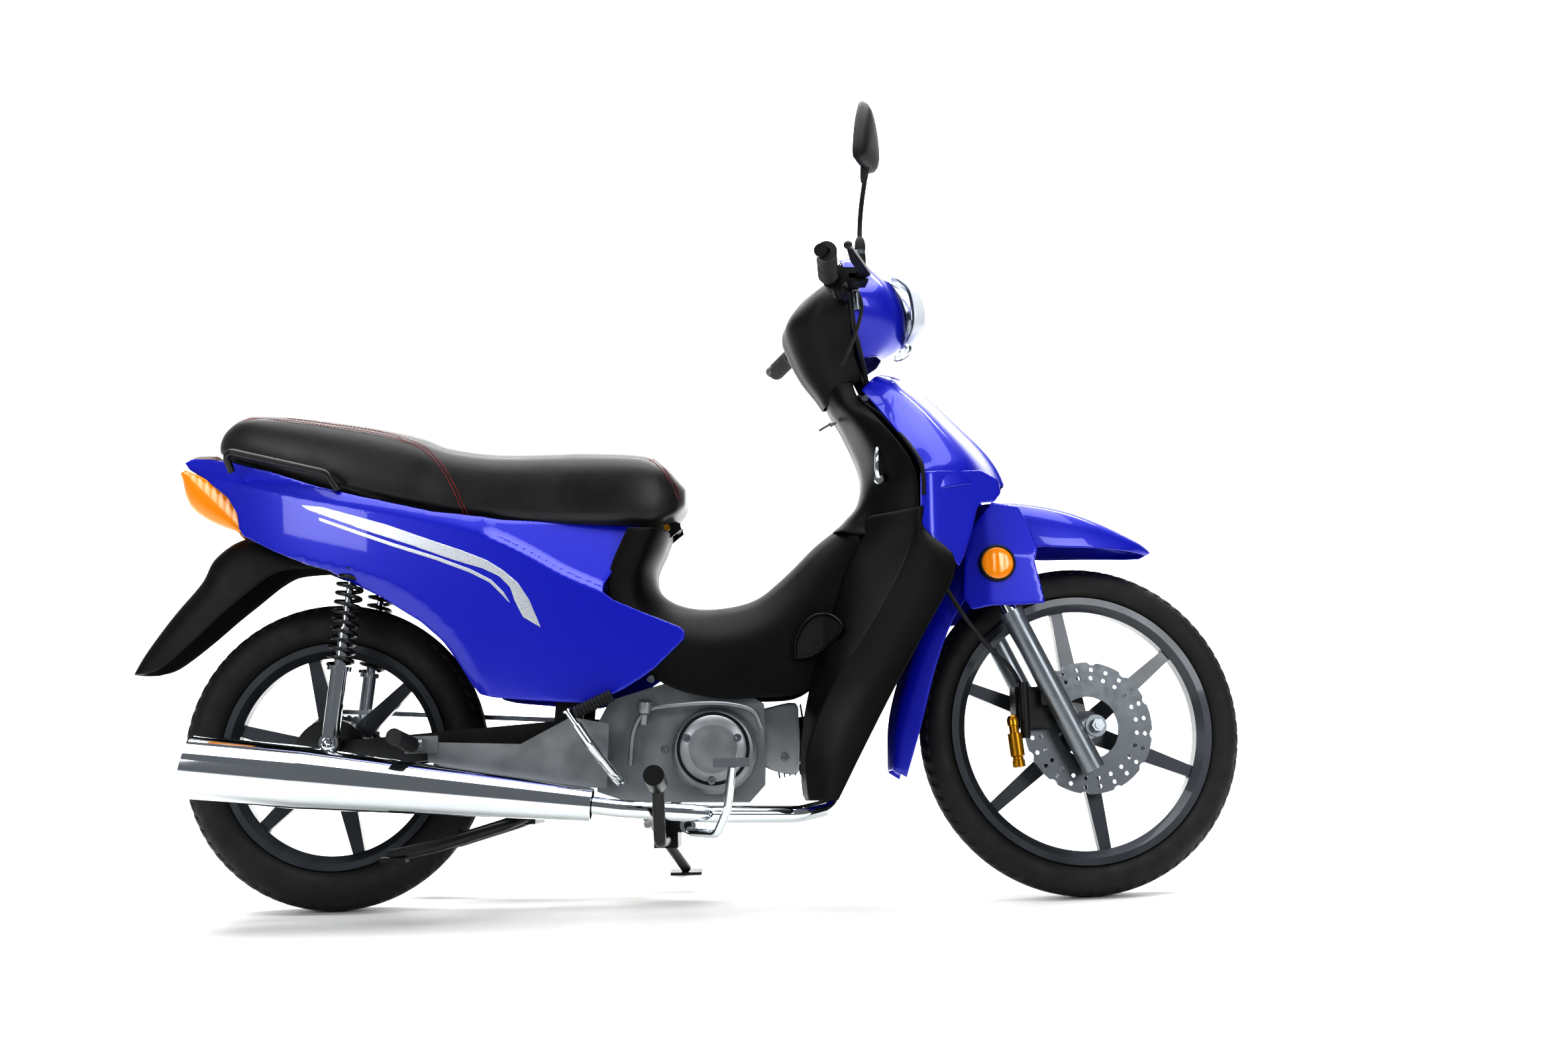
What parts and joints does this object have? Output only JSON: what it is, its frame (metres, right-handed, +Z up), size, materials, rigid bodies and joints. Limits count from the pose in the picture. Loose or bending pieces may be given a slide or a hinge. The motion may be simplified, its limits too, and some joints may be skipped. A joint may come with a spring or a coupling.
{
  "type": "moped scooter",
  "caption": "Step-through moped with underbone frame, cast wheels, telescopic fork, twin rear shocks, two-person seat, leg shield and chrome exhaust, leaning on its side stand.",
  "frame": {"origin": "bottom centre of the bounding box, on the ground that both tyres and the side stand touch", "axes": "+X forward, +Y to the rider's left, the side it leans to, +Z up"},
  "size_m": [1.8913, 0.7626, 1.3324],
  "materials": {
    "frame": "black satin paint",
    "crankcase": "painted casting",
    "cylinder": "black finned casting",
    "clutch_cover": "painted casting",
    "exhaust": "polished plate",
    "leg_shield": "textured moulding",
    "body_blue": "gloss paint",
    "lamp": "amber lens",
    "tank": "black paint",
    "steel_black": "satin paint",
    "bracket": "silver casting",
    "vinyl": "stitched vinyl",
    "rubber": "moulded",
    "tyre": "moulded",
    "wheel_grey": "graphite paint",
    "steel": "zinc plated",
    "fork_grey": "silver grey paint",
    "chrome": "polished plate",
    "clear_lens": "clear lens",
    "yellow": "moulded"
  },
  "bodies": {
    "chassis": {"frame": "frame", "crankcase": "crankcase", "cylinder": "cylinder", "clutch_cover": "clutch_cover", "exhaust": "exhaust", "leg_shield": "leg_shield", "tunnel_cover": "leg_shield", "leg_wings": "leg_shield", "front_cowl": "body_blue", "side_cowl_right": "body_blue", "side_cowl_left": "body_blue", "tail_light": "lamp", "rear_fender": "leg_shield", "grab_rails": "leg_shield", "fuel_tank": "tank", "footrest_bar": "steel_black", "peg_brackets": "bracket"},
    "seat": {"seat_cushion": "vinyl", "seat_pan": "leg_shield"},
    "steering": {"steering_stem": "frame", "fork_tubes": "chrome", "handlebar": "steel_black", "handlebar_rear_cover": "leg_shield", "handlebar_front_cover": "body_blue", "headlight": "clear_lens", "left_switch_pod": "leg_shield", "left_grip": "rubber", "master_cylinder": "leg_shield", "front_fender": "body_blue", "brake_hose": "rubber"},
    "throttle": {"throttle_grip": "rubber"},
    "front_brake": {"brake_lever": "steel_black"},
    "starter_switch": {"starter_button": "yellow"},
    "horn_switch": {"horn_button": "yellow"},
    "mirror": {"mirror_right": "steel_black"},
    "fork_lower": {"fork_sliders": "fork_grey", "front_axle": "steel", "brake_caliper": "steel_black"},
    "front_wheel_assembly": {"front_tyre": "tyre", "front_wheel": "wheel_grey", "brake_disc": "steel"},
    "swing_arm_assembly": {"swing_arm": "steel_black", "rear_axle": "steel", "brake_panel": "steel_black", "drive_chain": "steel"},
    "rear_wheel_assembly": {"rear_tyre": "tyre", "rear_wheel": "wheel_grey", "rear_sprocket": "steel"},
    "shock_upper": {"shock_rods": "chrome", "shock_springs": "steel_black"},
    "shock_lower": {"shock_bodies": "chrome"},
    "kick_starter": {"kick_arm": "chrome"},
    "kick_step": {"kick_pedal": "rubber"},
    "rear_brake": {"brake_pedal": "chrome"},
    "gear_lever": {"gear_pedal": "steel_black"},
    "main_stand": {"centre_stand": "steel_black"},
    "prop_stand": {"side_stand": "steel_black"},
    "passenger_peg_right": {"peg_right": "rubber"},
    "passenger_peg_left": {"peg_left": "rubber"},
    "ignition_key": {"key": "steel"}
  },
  "joints": [
    {"name": "steering_turn", "type": "hinge", "parent": "chassis", "child": "steering", "pos_m": [0.37491, 0.01846, 0.75455], "axis": [-0.4374, 0.1251, 0.8905], "range_deg": [-46, 32], "deforming": ["brake_hose"]},
    {"name": "fork_travel", "type": "slide", "parent": "steering", "child": "fork_lower", "axis": [-0.4374, 0.1251, 0.8905], "range_m": [-0.02, 0.04], "stiffness_N_per_m": 9000, "springref_m": -0.032, "deforming": ["brake_hose"]},
    {"name": "front_wheel_spin", "type": "hinge", "parent": "fork_lower", "child": "front_wheel_assembly", "pos_m": [0.67066, -0.04169, 0.27234], "axis": [-0.1253, 0.9721, -0.1981], "continuous": true},
    {"name": "swing_arm_travel", "type": "hinge", "parent": "chassis", "child": "swing_arm_assembly", "pos_m": [-0.19085, -0.04728, 0.28739], "axis": [-0.0001, 0.9903, -0.1392], "range_deg": [-2.5, 7], "stiffness_Nm_per_rad": 4500, "springref_deg": -2.01, "deforming": ["shock_springs"]},
    {"name": "rear_wheel_spin", "type": "hinge", "parent": "swing_arm_assembly", "child": "rear_wheel_assembly", "pos_m": [-0.59089, -0.05187, 0.25513], "axis": [-0.0001, 0.9903, -0.1392], "continuous": true},
    {"name": "shock_swivel", "type": "hinge", "parent": "chassis", "child": "shock_upper", "pos_m": [-0.53752, -0.0026, 0.60563], "axis": [-0.0001, 0.9903, -0.1392], "range_deg": [-2, 2]},
    {"name": "shock_stroke", "type": "slide", "parent": "shock_upper", "child": "shock_lower", "axis": [0.1144, 0.1383, 0.9838], "range_m": [-0.02, 0.05], "deforming": ["shock_springs"]},
    {"name": "seat_hinge", "type": "hinge", "parent": "chassis", "child": "seat", "pos_m": [-0.0105, 0.00088, 0.62983], "axis": [-0.0001, 0.9903, -0.1392], "range_deg": [0, 72]},
    {"name": "throttle_twist", "type": "hinge", "parent": "steering", "child": "throttle", "pos_m": [0.25222, -0.22707, 1.05074], "axis": [0.1849, 0.9631, -0.1954], "range_deg": [0, 70], "stiffness_Nm_per_rad": 0.6, "springref_deg": -28.65},
    {"name": "brake_lever_pull", "type": "hinge", "parent": "steering", "child": "front_brake", "pos_m": [0.3019, -0.15275, 1.03577], "axis": [-0.0028, 0.1993, 0.9799], "range_deg": [-9, 0], "stiffness_Nm_per_rad": 2, "springref_deg": 17.19},
    {"name": "starter_push", "type": "slide", "parent": "steering", "child": "starter_switch", "axis": [0.9921, 0.1233, -0.0222], "range_m": [0, 0.0015], "stiffness_N_per_m": 300, "springref_m": -0.002},
    {"name": "horn_push", "type": "slide", "parent": "steering", "child": "horn_switch", "axis": [0.9921, 0.1233, -0.0222], "range_m": [0, 0.0015], "stiffness_N_per_m": 300, "springref_m": -0.002},
    {"name": "mirror_turn", "type": "hinge", "parent": "steering", "child": "mirror", "pos_m": [0.30944, -0.14685, 1.04479], "axis": [-0.0028, 0.1993, 0.9799], "range_deg": [-60, 60]},
    {"name": "kick_swing", "type": "hinge", "parent": "chassis", "child": "kick_starter", "pos_m": [-0.10093, -0.15799, 0.21803], "axis": [-0.0001, 0.9903, -0.1392], "range_deg": [-40, 0], "stiffness_Nm_per_rad": 3, "springref_deg": 34.38},
    {"name": "kick_step_fold", "type": "hinge", "parent": "kick_starter", "child": "kick_step", "pos_m": [-0.172, -0.21903, 0.33047], "axis": [-0.5519, 0.0333, 0.8332], "range_deg": [-85, 0]},
    {"name": "brake_pedal_press", "type": "hinge", "parent": "chassis", "child": "rear_brake", "pos_m": [0.009, -0.1799, 0.14829], "axis": [-0.0001, 0.9903, -0.1392], "range_deg": [0, 9], "stiffness_Nm_per_rad": 20, "springref_deg": -11.46},
    {"name": "gear_rock", "type": "hinge", "parent": "chassis", "child": "gear_lever", "pos_m": [-0.02497, 0.05792, 0.17347], "axis": [-0.0001, 0.9903, -0.1392], "range_deg": [-8, 8], "stiffness_Nm_per_rad": 40},
    {"name": "main_stand_fold", "type": "hinge", "parent": "chassis", "child": "main_stand", "pos_m": [-0.261, -0.06634, 0.1518], "axis": [-0.0001, 0.9903, -0.1392], "range_deg": [-82, 0], "stiffness_Nm_per_rad": 2.5, "springref_deg": 114.59},
    {"name": "side_stand_fold", "type": "hinge", "parent": "chassis", "child": "prop_stand", "pos_m": [-0.07102, 0.04415, 0.13304], "axis": [0.0893, 0.6856, 0.7225], "range_deg": [0, 92], "stiffness_Nm_per_rad": 1, "springref_deg": -28.65},
    {"name": "peg_right_fold", "type": "hinge", "parent": "chassis", "child": "passenger_peg_right", "pos_m": [-0.43285, -0.19436, 0.29014], "axis": [1, 0, -0.001], "range_deg": [-80, 0]},
    {"name": "peg_left_fold", "type": "hinge", "parent": "chassis", "child": "passenger_peg_left", "pos_m": [-0.43289, 0.0948, 0.2495], "axis": [1, 0, -0.001], "range_deg": [0, 80]},
    {"name": "key_turn", "type": "hinge", "parent": "chassis", "child": "ignition_key", "pos_m": [0.26769, -0.01438, 0.80841], "axis": [-0.864, -0.0702, -0.4985], "range_deg": [0, 60]}
  ],
  "couplings": [
    {"joint": "shock_swivel", "follows": "swing_arm_travel", "ratio": 0.16581},
    {"joint": "shock_stroke", "follows": "swing_arm_travel", "m_per_rad": 0.38116}
  ]
}
